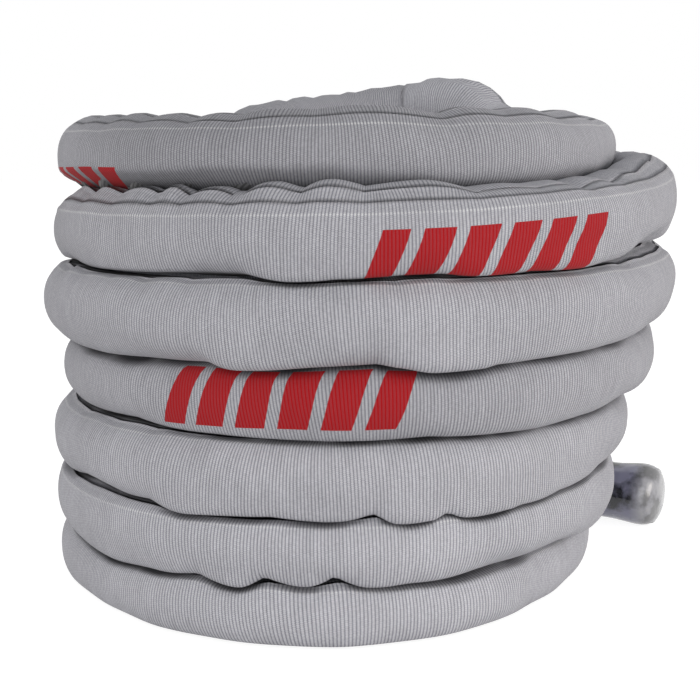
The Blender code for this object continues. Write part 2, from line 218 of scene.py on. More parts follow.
# The tail that is tucked down inside the coil
upper_way = unit(UPPER_TIP - UPPER_MOUTH)
tail_points = np.array([coil_line[-1], *TAIL_ROUTE, UPPER_MOUTH - upper_way * MOUTH_STUB])
tail_line = smooth_line(tail_points, coil_way(coil_turns[-1:])[0], upper_way)
tail_line = np.concatenate((tail_line[1:], UPPER_MOUTH[None]))
tail_lengths = lengths_along(tail_line)

# The whole line, with how far the sleeve is gathered along it and the count of turns. The count
# goes on past the coil at both ends, as a mere scale
LOWER_END_COUNT = -0.6
LEAD_COUNT = -0.5
COUNT_STEP = 0.001
UPPER_END_COUNT = COIL_END + 2
lower_end = lower_mouth + boot_way * ROPE_END_IN_BOOT
upper_end = UPPER_MOUTH + upper_way * ROPE_END_IN_BOOT
line_points = np.concatenate((lower_end[None], lead_line, coil_line, tail_line, upper_end[None]))
line_gathers = np.concatenate(
    (
        [1],
        1 - ease(lead_lengths / GATHER_LENGTH),
        np.zeros(len(coil_line)),
        1 - ease((tail_lengths[-1] - tail_lengths) / GATHER_LENGTH),
        [1],
    )
)
line_turns = np.concatenate(
    (
        [LOWER_END_COUNT],
        np.linspace(LEAD_COUNT, COIL_START, len(lead_line), endpoint=False),
        coil_turns,
        COIL_END + tail_lengths / tail_lengths[-1] + COUNT_STEP,
        [UPPER_END_COUNT],
    )
)
line_lengths = lengths_along(line_points)
rope_length = line_lengths[-1]

# The solids stand with the middle of their base at the origin, and the wrap in the lower boot says
# by how much they were moved to get there
TAPE_LENGTH = 60 * MM
tape_low, tape_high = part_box("end_tape_lower")
base_move = np.array((tape_low + tape_high) / 2) - (lower_end - boot_way * TAPE_LENGTH / 2)
line_points += base_move
lower_mouth += base_move
upper_mouth = UPPER_MOUTH + base_move


def at_lengths(lengths, values):
    """Values along the rope read at some lengths from its lower end."""
    if values.ndim == 1:
        return np.interp(lengths, line_lengths, values)
    return np.column_stack([np.interp(lengths, line_lengths, axis) for axis in values.T])


def ring_frames(centres):
    """Unit vectors outwards and upwards, square to the rope, at each ring."""
    ways = unit(np.gradient(centres, axis=0))
    ups = np.array((0, 0, 1)) - ways * ways[:, 2:]
    ups = unit(ups)
    return np.cross(ways, ups), ups


def add_piece(name, shape, materials, slot, *nodes):
    """Make a finished bmesh a named piece that rides on the rope and stands for the given solids."""
    mesh = bpy.data.meshes.new(name)
    shape.to_mesh(mesh)
    shape.free()
    for material in materials:
        mesh.materials.append(material)
    mesh.shade_smooth()
    piece = bpy.data.objects.new(name, mesh)
    bpy.context.scene.collection.objects.link(piece)
    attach(piece, "root")
    if nodes:
        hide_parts(*nodes)
    return piece


def rolled_sheet(shape, places, wraps, painted_shades=None):
    """Roll a flat grid onto a table of places, weld its long edges, and give it a UV map.

    The last table, if there is one, says for each vertex how much painted shade it gets, near the next
    pass of the rope and on the under side of the top turn.
    """
    rows, columns = places.shape[:2]
    if painted_shades is not None:
        painted_shade_layer = shape.verts.layers.float.new("PaintedShade")
    uv_layer = shape.loops.layers.uv.get("UVMap") or shape.loops.layers.uv.new("UVMap")
    made = bmesh.ops.create_grid(shape, x_segments=rows - 1, y_segments=columns - 1, size=1)["verts"]
    cells = {}
    for vertex in made:
        row = round((vertex.co.x + 1) / 2 * (rows - 1))
        column = round((vertex.co.y + 1) / 2 * (columns - 1))
        cells[vertex] = (row, column)
    faces = {face for vertex in made for face in vertex.link_faces}
    for face in faces:
        for loop in face.loops:
            row, column = cells[loop.vert]
            loop[uv_layer].uv = wraps[row, column]
    for vertex, (row, column) in cells.items():
        vertex.co = places[row, column]
        if painted_shades is not None:
            vertex[painted_shade_layer] = painted_shades[row, column]
    seam = [vertex for vertex, (row, column) in cells.items() if column in (0, columns - 1)]
    bmesh.ops.remove_doubles(shape, verts=seam, dist=WELD)


def end_edges(shape, centre, reach):
    """The open edges of a tube near one of its ends."""
    near = []
    for edge in shape.edges:
        middle = (edge.verts[0].co + edge.verts[1].co) / 2
        if edge.is_boundary and (middle - Vector(centre)).length < reach:
            near.append(edge)
    return near


# Woven sleeve
# A tube of grey nylon woven flat, so that it has a fold along each side, and pulled loosely over
# the rope. It is baggy: it lies flat where turns press on each other and puckers along its top.
SLEEVE_RINGS = 1600
SLEEVE_COLUMNS = 46
SLEEVE_END_ROOM = 4 * MM
SLEEVE_WALL = 1.2 * MM
ROUND_RADIUS = SLEEVE_GIRTH / math.tau
ROUND_POWER = 2 / 2.15
GATHERED_RADIUS = 21.4 * MM
PLEATS = 11
PLEAT_DEPTH = 1.0 * MM
LUMP_DEPTH = 0.9 * MM
drawn = np.random.default_rng(7)

# The loose tube lies off the route, at counts of turns, by these millimetres up and out: a little in
# the turns, and more where the rope climbs onto its own top turn and crosses it. Its outer half is
# wider than round where it is pressed flat
SETTLED = (
    (-0.3, 0, 0), (0.2, 0, 0.5), (0.36, 0, 0), (0.44, 0, -5), (0.5, 0, 2), (0.57, 0, 6),
    (0.65, 0, 2), (0.7, 0, -9), (0.75, 0, -7), (0.8, 0, 0), (1.57, -1.5, -0.5), (2.57, 0.5, -0.5),
    (3.57, 4, -3), (4.57, 5.5, -5), (5.35, 6.5, -5), (5.57, 6.5, -5), (5.8, 5.5, -7.5),
    (6.3, 2, -5.5), (6.57, 2, -5.5), (6.8, 0, -6), (6.86, -9, -12), (6.9, -19, -19),
    (6.925, -21, -21), (6.95, -2.5, -24), (6.96, -2, -26), (6.98, -7.5, -28), (7.03, -12, -26),
    (7.095, -12.5, -15), (7.165, -3.5, -5), (7.23, 4, 0), (7.4, 0, 0),
)
REACH_TURNS = (0, 0.57, 1.57, 2.57, 3.57, 4.57, 5.57, 6.57, 8)
OUTER_REACHES = MM * np.array((31.5, 31.5, 31, 29.5, 29.5, 28, 28, 27.7, 27.7))
SETTLE_SMOOTH = 11
settle_turns, settle_ups, settle_outs = np.array(SETTLED).T
line_outs, line_ups = ring_frames(line_points)
settled_line = line_points.copy()
for sides, moves in ((line_outs, settle_outs), (line_ups, settle_ups)):
    moved = np.pad(np.interp(line_turns, settle_turns, moves * MM), SETTLE_SMOOTH - 1, mode="edge")
    # Two running means round off the kinks
    for _ in range(2):
        moved = np.convolve(moved, np.ones(SETTLE_SMOOTH) / SETTLE_SMOOTH, "valid")
    settled_line += sides * moved[:, None]

# Lower edge of each turn: at counts of turns, by how many millimetres it hangs over the shoulder of
# the turn below
EDGE_OUT = 18 * MM
EDGE_DROPS = (
    (1.352, -2.1), (1.442, 4.1), (1.471, 3.7), (1.498, 1.7), (1.521, 5.5), (1.534, -0.4), (1.555, 3.5),
    (1.57, -1.8), (1.588, 2.7), (1.609, 1.9), (1.662, -0.8), (1.717, -1.3),
    (2.353, 1.7), (2.417, -4.6), (2.468, 0.4), (2.494, 5.1), (2.538, 4.5), (2.57, 7.1), (2.588, 4.3),
    (2.605, 11.1), (2.624, 6.7), (2.641, 11.3), (2.665, 8.5), (2.695, 6.5),
    (3.3, -4), (3.35, -5.4), (3.417, -0.4), (3.446, -0.6), (3.493, 2.9), (3.541, 3.7), (3.602, 1.6),
    (3.649, 3.0), (3.696, 2.0),
    (4.444, 2.0), (4.475, 1.3), (4.499, 0.2), (4.517, 4.4), (4.568, 2.3), (4.579, 1.5), (4.59, 5.4),
    (4.614, 9.2), (4.632, 7.0), (4.651, 6.6), (4.695, 4.6),
    (5.383, -1.5), (5.426, 2.6), (5.452, 2.5), (5.49, 0.0), (5.507, 0.6), (5.53, 5.6), (5.549, 4.1),
    (5.575, 2.6), (5.594, 2.5), (5.612, 5.0), (5.637, 4.5), (5.662, 6.1), (5.682, 4.5), (5.729, -5.8),
    (6.34, -9.0), (6.42, -10.0), (6.5, -7.0), (6.57, -6.0), (6.61, -2.0), (6.64, 1.0), (6.69, 2.0),
    (6.76, 0.0),
)
EDGE_STEP = 0.045
EDGE_SPREAD = 3.5 * MM
LIP_SHARE = 1.15
LIP = math.radians(-54)
LIP_WIDTH = math.radians(20)

# Top edge of the upper turns: millimetres over the rope's middle, by turns a valley and a lobe's top
TOP_RISES = (
    (5.37, 29), (5.39, 34), (5.405, 28.5), (5.419, 34), (5.433, 28.5), (5.452, 33), (5.462, 28),
    (5.472, 33), (5.479, 26), (5.493, 30.7), (5.505, 25.2), (5.52, 32.3), (5.534, 27.5),
    (5.546, 32.5), (5.562, 27.1), (5.586, 29.5),
    (5.612, 22.4), (5.628, 24), (5.645, 22.4), (5.66, 24.1), (5.673, 19), (5.687, 23.5), (5.699, 21),
    (5.715, 25.5), (5.73, 24), (5.75, 30), (5.765, 27), (5.785, 31), (5.8, 28), (5.82, 31),
    (5.84, 28), (5.86, 30),
    (6.35, 26), (6.375, 30.1), (6.395, 28), (6.414, 29.5), (6.428, 27), (6.444, 29.5), (6.457, 26.6),
    (6.475, 28.5), (6.49, 25.4), (6.503, 28), (6.517, 26.6), (6.54, 29.5), (6.56, 28.8), (6.59, 31.4),
    (6.627, 26), (6.645, 30.2), (6.664, 28), (6.685, 30), (6.706, 27), (6.73, 28.5), (6.752, 25),
    (6.78, 25), (6.8, 22), (6.82, 25),
)
TOP_STEP = 0.016
TOP_LOW, TOP_HIGH = 26.2 * MM, 28.6 * MM
TOP_ZONE = math.radians(80)
TOP_ZONE_WIDTH = math.radians(40)

# Where the tables leave a wide stretch bare, out of the photograph's sight, places are made up at
# uneven steps
UNSEEN_FROM, UNSEEN_TO = -0.5, COIL_END + 1.2
BARE_STRETCH = 0.15
LEAST_STEP, MOST_STEP = 0.6, 1.5


def with_unseen(table, step, make):
    """The table's places, with uneven ones made up wherever it leaves a wide stretch bare."""
    turns = [turn for turn, _ in table]
    full = list(table)
    for before, after in zip([UNSEEN_FROM, *turns], [*turns, UNSEEN_TO]):
        if after - before < BARE_STRETCH:
            continue
        place = before + step
        while place < after - step:
            full.append((place, make(len(full))))
            place += step * drawn.uniform(LEAST_STEP, MOST_STEP)
    return np.array(sorted(full)).T


edge_turns, edge_drops = with_unseen(
    [(turn, drop * MM) for turn, drop in EDGE_DROPS], EDGE_STEP, lambda _: drawn.uniform(0, EDGE_SPREAD)
)
top_turns, top_rises = with_unseen(
    [(turn, rise * MM) for turn, rise in TOP_RISES],
    TOP_STEP,
    lambda count: (TOP_HIGH if count % 2 else TOP_LOW) + drawn.uniform(-0.5, 0.5) * MM,
)


def spans(turns, places):
    """Which stretch between two places each count of turns is in, and how far along it is."""
    after = np.clip(np.searchsorted(places, turns, side="right"), 1, len(places) - 1)
    share = np.clip((turns - places[after - 1]) / (places[after] - places[after - 1]), 0, 1)
    return after, share


def lobed(turns, places, sizes):
    """Bulge of the baggy cloth from place to place, round over each lobe and sharp between two."""
    after, share = spans(turns, places)
    low, high = sizes[after - 1], sizes[after]
    rising = low + (high - low) * np.sin(math.pi / 2 * share)
    falling = high + (low - high) * np.cos(math.pi / 2 * share)
    return np.where(high > low, rising, falling)


# The lower edges' even course and the lobes on it. The planes between turns tilt with a small share
# of the course and most of each lobe, and with all of both under the top turn. The lip of a turn
# hangs over the turn below by more than its lobes drop
EVEN_SHARE = 0.28
LOBE_SHARE = 0.8
HANG_EVEN_SHARE = 0.75
HANG_LOBE_SHARE = 1.4
HANG_LEAST, HANG_MOST = -4 * MM, 7.6 * MM
HANG_FROM, HANG_TO = 1.2, COIL_END - 1
EVEN_STEPS = 61
EDGE_PLACES = 4001
TOP_TURN = 6.05
edge_fine = np.linspace(edge_turns[0], edge_turns[-1], EDGE_PLACES)
edge_shape = lobed(edge_fine, edge_turns, edge_drops)
edge_even = np.pad(edge_shape, EVEN_STEPS // 2, mode="edge")
edge_even = np.convolve(edge_even, np.ones(EVEN_STEPS) / EVEN_STEPS, "valid")
edge_lobes = edge_shape - edge_even
edge_tilts = np.where(
    edge_fine < TOP_TURN, EVEN_SHARE * edge_even + LOBE_SHARE * edge_lobes, edge_shape
)
edge_hangs = HANG_EVEN_SHARE * edge_even + HANG_LOBE_SHARE * edge_lobes

# Each pass of the rope presses on the passes beside it, on planes halfway between their middles.
# The cloth gets painted shade where it meets the next pass, and on the under side of the top turn
PASS_LENGTH = 250 * MM
PASS_STEP = 3 * MM
PRESS_REACH = 66 * MM
PRESS_PLANES = 5
PRESS_GAP = 2.0 * MM
SHOULDER_BACK = math.radians(1.5)
PRESS_SOFT = 1.5 * MM
FLOOR_SOFT = 6.0 * MM
TOUCH_REACH = 1.2 * MM
TOUCH_DEPTH = 4.5 * MM
TOP_UNDER = math.radians(-12)
TOP_UNDER_WIDTH = math.radians(60)
TOP_UNDER_END = -2.2
TOP_UNDER_SHADE = 0.9
TOP_UNDER_TO = COIL_END - 0.1
TOP_TOUCH_SHARE = 0.3
CROSSING_FROM = 6.9
pass_lengths = np.arange(0, rope_length, PASS_STEP)
pass_points = at_lengths(pass_lengths, settled_line)
pass_turns = at_lengths(pass_lengths, line_turns)


def pressing_planes(lengths, centres, outs, ups):
    """Angle of each pressing plane's way out round the section, and how far off the plane is."""
    slopes = np.full((len(lengths), PRESS_PLANES), -math.pi / 2)
    limits = np.tile(centres[:, 2:], PRESS_PLANES)
    turns = at_lengths(lengths, line_turns)
    for row, (length, centre, out, up) in enumerate(zip(lengths, centres, outs, ups)):
        offsets = pass_points - centre
        far = np.linalg.norm(offsets, axis=1)
        far[np.abs(pass_lengths - length) < PASS_LENGTH] = 1
        nearest = (far < PRESS_REACH) & (far <= np.roll(far, 1)) & (far < np.roll(far, -1))
        for place, other in enumerate(np.flatnonzero(nearest)[: PRESS_PLANES - 1]):
            aside, above = offsets[other] @ out, offsets[other] @ up
            upper = pass_turns[other] if above > 0 else turns[row]
            tilt = 0
            if upper < CROSSING_FROM and abs(above) > abs(aside):
                tilt = math.atan(np.interp(upper, edge_fine, edge_tilts) / EDGE_OUT)
                tilt += SHOULDER_BACK * (above > 0)
            slopes[row, place] = math.atan2(above, aside) - tilt
            limits[row, place] = math.hypot(aside, above) / 2 * math.cos(tilt) - PRESS_GAP / 2
    return slopes, limits


def pressed(out, up, slopes, limits):
    """Skin points eased back behind each pressing plane, and how near each is to the next pass."""
    touch = np.zeros_like(out)
    for place, (slope, limit) in enumerate(zip(slopes.T[..., None], limits.T[..., None])):
        soft = FLOOR_SOFT if place == PRESS_PLANES - 1 else PRESS_SOFT
        way_out, way_up = np.cos(slope), np.sin(slope)
        reach = out * way_out + up * way_up - limit
        # How near the skin comes to the next pass sets the painted contact shade
        if place < PRESS_PLANES - 1:
            touch = np.maximum(touch, np.clip((reach + TOUCH_REACH) / TOUCH_DEPTH, 0, 1))
        over = np.maximum(reach + soft, 0)
        back = over - soft * (1 - np.exp(-over / soft))
        out, up = out - back * way_out, up - back * way_up
    return out, up, touch


def zone(angles, middle, width):
    """1 in the middle of a zone round the section, falling off smoothly to either side."""
    away = (angles - middle + math.pi) % math.tau - math.pi
    return np.exp(-((away / width) ** 2))


def wave_kit(shortest, longest, count):
    """Lengths, turns round the section and phases of a few waves over the cloth."""
    return [
        (drawn.uniform(shortest, longest), drawn.integers(0, 4), drawn.uniform(0, math.tau))
        for _ in range(count)
    ]


def slow_waves(kit, lengths, angles):
    """Smooth uneven waves over the cloth, between about -1 and 1."""
    waves = [np.cos(math.tau * lengths / step + turn * angles + phase) for step, turn, phase in kit]
    return sum(waves) / math.sqrt(len(waves))


TWIST_WAVES = wave_kit(0.5, 1.3, 4)
TWIST_SWING = math.radians(3)
LUMP_WAVES = wave_kit(0.035, 0.25, 12)
LUMP_POWER = 0.7
FOLD_WAVES = wave_kit(0.2, 0.7, 4)
LEAN_WAVES = wave_kit(0.12, 0.5, 4)
PLEAT_WAVES = wave_kit(0.05, 0.1, 2)
HELD_PLEAT = 0.35
FAN_SHARE = 0.3
FAN_WIDTH = TOP_ZONE_WIDTH / 1.4
LEAN = 2.5 * MM
LEAN_ADDED = 0.4
LEAN_EDGE = -0.5
FOLD_SHARE = 0.37
FOLD_RIDGE = 0.9 * MM
FOLD_WIDTH = 2.2 * MM
FOLD_EVEN, FOLD_SWING = 0.6, 0.4
TWIST_TURNS = (0, 1.3, 1.6, 2.3, 2.6, 4.2, 4.6, 5.3, 5.6, 6.1, 8)
TWISTS = np.radians((0, -15, -15, 4, 4, 5, 5, -15, -17, -3, 0))
SHOULDER_FLAT = 0.9 * MM
SHOULDER = math.radians(63)
SHOULDER_WIDTH = math.radians(16)

# Columns round the cloth stand closer on the side that faces out, along the fold and at the lip, and
# rings along it stand closer at the front, where the puckers are
OUTER_CROWD, OUTER_MIDDLE, OUTER_WIDTH = 0.55, 0.2, 1.3
FOLD_CROWD, FOLD_CROWD_WIDTH = 1.6, 3 * MM
LIP_CROWD, LIP_CROWD_WIDTH = 0.9, 0.3
FRONT_CROWD, FRONT_WIDTH = 1.3, 1.2


def round_angle(rounds):
    """Angle round the section at a share of the girth, which is counted from the bottom."""
    return math.tau * (rounds - 0.25)


def crowded(places, crowding, count):
    """A number of places that stand closer where the crowding is higher."""
    sums = np.concatenate(([0], np.cumsum((crowding[1:] + crowding[:-1]) / 2)))
    return np.interp(np.linspace(0, sums[-1], count), sums, places)


fine = np.linspace(0, 1, 2001)
crowding = OUTER_CROWD + OUTER_CROWD * zone(round_angle(fine), OUTER_MIDDLE, OUTER_WIDTH)
crowding += FOLD_CROWD * np.exp(-(((fine - FOLD_SHARE) * SLEEVE_GIRTH / FOLD_CROWD_WIDTH) ** 2))
crowding += LIP_CROWD * zone(round_angle(fine), LIP, LIP_CROWD_WIDTH)
sleeve_rounds = crowded(fine, crowding, SLEEVE_COLUMNS + 1)
fine = np.linspace(SLEEVE_END_ROOM, rope_length - SLEEVE_END_ROOM, 8001)
fine_turns = at_lengths(fine, line_turns)
at_front = zone(math.tau * (fine_turns - FRONT_SHARE), 0, FRONT_WIDTH) * (fine_turns < COIL_END)
sleeve_lengths = crowded(fine, 1 + FRONT_CROWD * at_front, SLEEVE_RINGS)


def sleeve_places(lengths, rounds, inset, smooth):
    """Rows of skin places along the rope, with their middles, UVs, painted shade and inner floor heights.
    """
    centres = at_lengths(lengths, settled_line)
    gathers = at_lengths(lengths, line_gathers)[:, None]
    turns = at_lengths(lengths, line_turns)[:, None]
    outs, ups = ring_frames(centres)
    slopes, limits = pressing_planes(lengths, centres, outs, ups)
    far = lengths[:, None]
    twist = np.interp(turns, TWIST_TURNS, TWISTS) + TWIST_SWING * slow_waves(TWIST_WAVES, far, 0)
    angles = round_angle(rounds[None]) + twist
    across, above = np.cos(angles), np.sin(angles)
    widths = np.where(across > 0, np.interp(turns, REACH_TURNS, OUTER_REACHES), ROUND_RADIUS)
    out = widths * np.sign(across) * np.abs(across) ** ROUND_POWER
    up = ROUND_RADIUS * np.sign(above) * np.abs(above) ** ROUND_POWER
    normal_out, normal_up = across / widths, above / ROUND_RADIUS
    size = np.hypot(normal_out, normal_up)
    normal_out, normal_up = normal_out / size, normal_up / size
    # The puckered top, the flattened shoulder, the lip, slow lumps and the fold push the skin out or in
    rise = lobed(turns, top_turns, top_rises) - ROUND_RADIUS
    lift = rise * zone(angles, TOP_ZONE, TOP_ZONE_WIDTH)
    lift = lift - SHOULDER_FLAT * zone(angles, SHOULDER, SHOULDER_WIDTH)
    hang = np.clip(np.interp(turns, edge_fine, edge_hangs), HANG_LEAST, HANG_MOST)
    hang = hang * ((turns > HANG_FROM) & (turns < HANG_TO))
    lift = lift + LIP_SHARE * hang * zone(angles, LIP, LIP_WIDTH)
    lift = lift + LUMP_DEPTH * slow_waves(LUMP_WAVES, far, angles) * np.abs(across) ** LUMP_POWER
    from_fold = (rounds[None] - FOLD_SHARE) * SLEEVE_GIRTH / FOLD_WIDTH
    fold = np.exp(-(from_fold**2)) * (FOLD_EVEN + FOLD_SWING * slow_waves(FOLD_WAVES, far, 0))
    lift = lift + FOLD_RIDGE * fold * (turns < TOP_TURN)
    if smooth:
        lift = np.minimum(lift, 0)
    lift = lift - inset
    out, up = out + lift * normal_out, up + lift * normal_up
    out, up, painted_shades = pressed(out, up, slopes, limits - inset)
    # Painted shade on the under side of the top turn, joined to the painted contact shade
    under = TOP_UNDER_SHADE * ease((TOP_UNDER - angles) / TOP_UNDER_WIDTH)
    under = under * (angles > TOP_UNDER_END) * (turns < TOP_UNDER_TO)
    painted_shades = np.where(turns < TOP_TURN, painted_shades, np.maximum(TOP_TOUCH_SHARE * painted_shades, under))
    # The ends are drawn in to the rope in pleats
    pleat = PLEAT_DEPTH * np.cos(PLEATS * angles + slow_waves(PLEAT_WAVES, far, 0))
    free_pleat = 4 * gathers * (1 - gathers)
    held = GATHERED_RADIUS - inset + pleat * (HELD_PLEAT * gathers + free_pleat)
    out = out * (1 - gathers) + held * across * gathers
    up = up * (1 - gathers) + held * above * gathers
    places = centres[:, None] + outs[:, None] * out[..., None] + ups[:, None] * up[..., None]
    places[..., 2] = np.maximum(places[..., 2], inset)
    # Ribs fan out from the valleys of the puckered top, and lean below it
    after, share = spans(turns, top_turns)
    lobe = (top_turns[after] - top_turns[after - 1]) * COIL_RADIUS * math.tau
    rising = top_rises[after] > top_rises[after - 1]
    bunched = np.where(rising, 1, -1) * np.sin(math.pi * share) * lobe / math.pi
    shear = FAN_SHARE * bunched * zone(angles, TOP_ZONE, FAN_WIDTH)
    lean = LEAN * slow_waves(LEAN_WAVES, far, 0)
    shear = shear + lean * (LEAN_ADDED + above) * (across > LEAN_EDGE)
    along = (far + shear * (1 - gathers)) / rope_length
    wraps = np.stack((along, np.broadcast_to(rounds[None], along.shape)), axis=-1)
    floors = -up[:, np.argmin(np.abs(round_angle(rounds) + math.pi / 2))]
    return centres, places, wraps, painted_shades, floors


sleeve_line, sleeve_skin, sleeve_wraps, sleeve_painted_shades, sleeve_floors = sleeve_places(
    sleeve_lengths, sleeve_rounds, 0, False
)
_, bore_skin, bore_wraps, _, _ = sleeve_places(sleeve_lengths[::4], sleeve_rounds, SLEEVE_WALL, True)
sleeve_shape = bmesh.new()
rolled_sheet(sleeve_shape, sleeve_skin, sleeve_wraps, sleeve_painted_shades)
rolled_sheet(sleeve_shape, bore_skin, bore_wraps)
for centre in (sleeve_line[0], sleeve_line[-1]):
    rim = end_edges(sleeve_shape, centre, 2 * ROPE_RADIUS)
    bmesh.ops.bridge_loops(sleeve_shape, edges=rim)
bmesh.ops.recalc_face_normals(sleeve_shape, faces=sleeve_shape.faces)


def new_node(tree, kind, **values):
    """Add a shader node and set its properties and its unnamed or named inputs."""
    node = tree.nodes.new(kind)
    for name, value in values.items():
        if hasattr(node, name):
            setattr(node, name, value)
        else:
            node.inputs[name.replace("_", " ")].default_value = value
    return node


def sum_node(tree, operation, first, second=None, third=None):
    """A Math node on sockets or plain numbers, giving its output socket."""
    node = tree.nodes.new("ShaderNodeMath")
    node.operation = operation
    for place, value in enumerate((first, second, third)):
        if isinstance(value, bpy.types.NodeSocket):
            tree.links.new(value, node.inputs[place])
        elif value is not None:
            node.inputs[place].default_value = value
    return node.outputs[0]


def mix_node(tree, factor, first, second, blend="MIX"):
    """A colour Mix node on sockets or colours, giving its output socket."""
    node = tree.nodes.new("ShaderNodeMix")
    node.data_type = "RGBA"
    node.blend_type = blend
    for socket, value in ((node.inputs[0], factor), (node.inputs[6], first), (node.inputs[7], second)):
        if isinstance(value, bpy.types.NodeSocket):
            tree.links.new(value, socket)
        else:
            socket.default_value = value
    return node.outputs[2]


def new_material(name, roughness, **values):
    """A Principled material, with the values that are the same all over set on its own sockets."""
    material = bpy.data.materials.new(name)
    material.use_nodes = True
    tree = material.node_tree
    shader = tree.nodes["Principled BSDF"]
    shader.inputs["Roughness"].default_value = roughness
    for socket, value in values.items():
        shader.inputs[socket.replace("_", " ")].default_value = value
    return material, tree, shader


def new_group(name, inputs, outputs):
    """A shader node group with named number inputs and outputs."""
    group = bpy.data.node_groups.new(name, "ShaderNodeTree")
    for label in inputs:
        group.interface.new_socket(label, in_out="INPUT", socket_type="NodeSocketFloat")
    for label in outputs:
        group.interface.new_socket(label, in_out="OUTPUT", socket_type="NodeSocketFloat")
    return group, group.nodes.new("NodeGroupInput").outputs, group.nodes.new("NodeGroupOutput").inputs


def use_group(tree, group, **values):
    """Place a group in a material, with its inputs linked or set by name."""
    node = tree.nodes.new("ShaderNodeGroup")
    node.node_tree = group
    for label, value in values.items():
        if isinstance(value, bpy.types.NodeSocket):
            tree.links.new(value, node.inputs[label])
        else:
            node.inputs[label].default_value = value
    return node.outputs


def half_cosine(tree, wave):
    """A wave between -1 and 1 brought between 0 and 1."""
    return sum_node(tree, "MULTIPLY_ADD", wave, 0.5, 0.5)


def uv_parts(tree):
    """The two coordinates of the piece's own UV map."""
    wrap = new_node(tree, "ShaderNodeUVMap", uv_map="UVMap")
    parts = tree.nodes.new("ShaderNodeSeparateXYZ")
    tree.links.new(wrap.outputs[0], parts.inputs[0])
    return parts.outputs[0], parts.outputs[1]


def object_noise(tree, scale, detail):
    """The value of a noise that fills the piece's own space."""
    space = tree.nodes.new("ShaderNodeTexCoord")
    noise = new_node(tree, "ShaderNodeTexNoise", Scale=scale, Detail=detail)
    tree.links.new(space.outputs["Object"], noise.inputs["Vector"])
    return noise.outputs[0]


def add_bump(tree, shader, height, strength, distance):
    """Give a shader the shallow relief of a height socket."""
    relief = new_node(tree, "ShaderNodeBump", Strength=strength, Distance=distance)
    tree.links.new(height, relief.inputs["Height"])
    tree.links.new(relief.outputs[0], shader.inputs["Normal"])


def looked_at(tree):
    """1 for rays from the camera, straight or by way of a glossy or clear skin, and 0 for others."""
    rays = tree.nodes.new("ShaderNodeLightPath").outputs
    seen = sum_node(tree, "MAXIMUM", rays["Is Camera Ray"], rays["Is Glossy Ray"])
    return sum_node(tree, "MAXIMUM", seen, rays["Is Transmission Ray"])


# The weave: thick weft cords that stand as ribs round the tube, crossed by fine warp threads
RIB_PITCH = 1.9 * MM
WARP_PITCH = 1.15 * MM
weave, given, gives = new_group("ribbed_weave", ("Along", "Round"), ("Rib", "Thread"))
rib_turn = sum_node(weave, "MULTIPLY", given["Along"], math.tau * rope_length / RIB_PITCH)
rib = half_cosine(weave, sum_node(weave, "COSINE", rib_turn))
warp_turn = sum_node(weave, "MULTIPLY", given["Round"], math.tau * SLEEVE_GIRTH / WARP_PITCH)
half_turn = sum_node(weave, "MULTIPLY", rib_turn, 0.5)
warp, cross = sum_node(weave, "COSINE", warp_turn), sum_node(weave, "COSINE", half_turn)
thread = half_cosine(weave, sum_node(weave, "MULTIPLY", warp, cross))
weave.links.new(rib, gives["Rib"])
weave.links.new(thread, gives["Thread"])

# The printed mark: a row of plain slanted bars, in the cloth's own length and girth, which are
# counted from a whole number of bars before its middle
BARS_BEFORE = 100
BAR_PITCH = 24 * MM
BAR_SHARE = 0.7
BAR_LEAN = 0.35
mark, given, gives = new_group(
    "slanted_bars",
    ("Along", "Round", "Middle Along", "Middle Round", "Half Length", "Half Height"),
    ("Mask",),
)
past = sum_node(mark, "SUBTRACT", given["Along"], given["Middle Along"])
past = sum_node(mark, "MULTIPLY", past, rope_length)
over = sum_node(mark, "SUBTRACT", given["Round"], given["Middle Round"])
over = sum_node(mark, "MULTIPLY", over, SLEEVE_GIRTH)
leant = sum_node(mark, "SUBTRACT", past, sum_node(mark, "MULTIPLY", over, BAR_LEAN))
bar = sum_node(mark, "ADD", sum_node(mark, "DIVIDE", leant, BAR_PITCH), BARS_BEFORE)
bar = sum_node(mark, "LESS_THAN", sum_node(mark, "FRACT", bar), BAR_SHARE)
within = sum_node(mark, "LESS_THAN", sum_node(mark, "ABSOLUTE", leant), given["Half Length"])
beside = sum_node(mark, "LESS_THAN", sum_node(mark, "ABSOLUTE", over), given["Half Height"])
mask = sum_node(mark, "MULTIPLY", sum_node(mark, "MULTIPLY", bar, within), beside)
mark.links.new(mask, gives["Mask"])

# Marks by count of turns and share of the girth, and how much of its grey the cloth keeps on each
# stretch, darker on some, by count of turns in order, with a step where the tail begins
MARKS = ((5.6185, 0.209), (3.536, 0.24), (6.385, 0.125))
MARK_HALF_LENGTH = 69.5 * MM
MARK_HALF_HEIGHT = 19 * MM
STRETCH_TONES = (
    (0, 0.97), (1.3, 0.97), (1.57, 0.94), (3.4, 0.86), (3.57, 0.73), (3.8, 0.86), (5.3, 0.8),
    (6.3, 0.83), (6.5, 0.6), (7, 1), (7.0001, 0.8),
)
GREY_RIB = (0.485, 0.485, 0.515, 1)
# Darker grey of the grooves between the ribs, which is painted shade
GROOVE_SHADE_GREY = (0.19, 0.19, 0.225, 1)
THREAD_SHARE = 0.9
THREAD_RAISE = 0.3
LIT_POWER = 0.45
EVEN_SHADE = 0.7
CLOUD_SCALE, CLOUD_SHARE = 14, 0.3
STREAK_WIDTH = 2.6 * MM
STREAK_LENGTH = 22 * MM
STREAK_SHARE = 0.32
GRAIN_SCALE, GRAIN_SHARE = 700, 0.5
FOLD_LIGHT = (0.75, 0.75, 0.75, 1)
FOLD_LIGHT_SHARE = 0.3
FOLD_LINE_WIDTH = 0.7 * MM
BEAD_SHARE, BEAD_REST = 2.6, 0.4
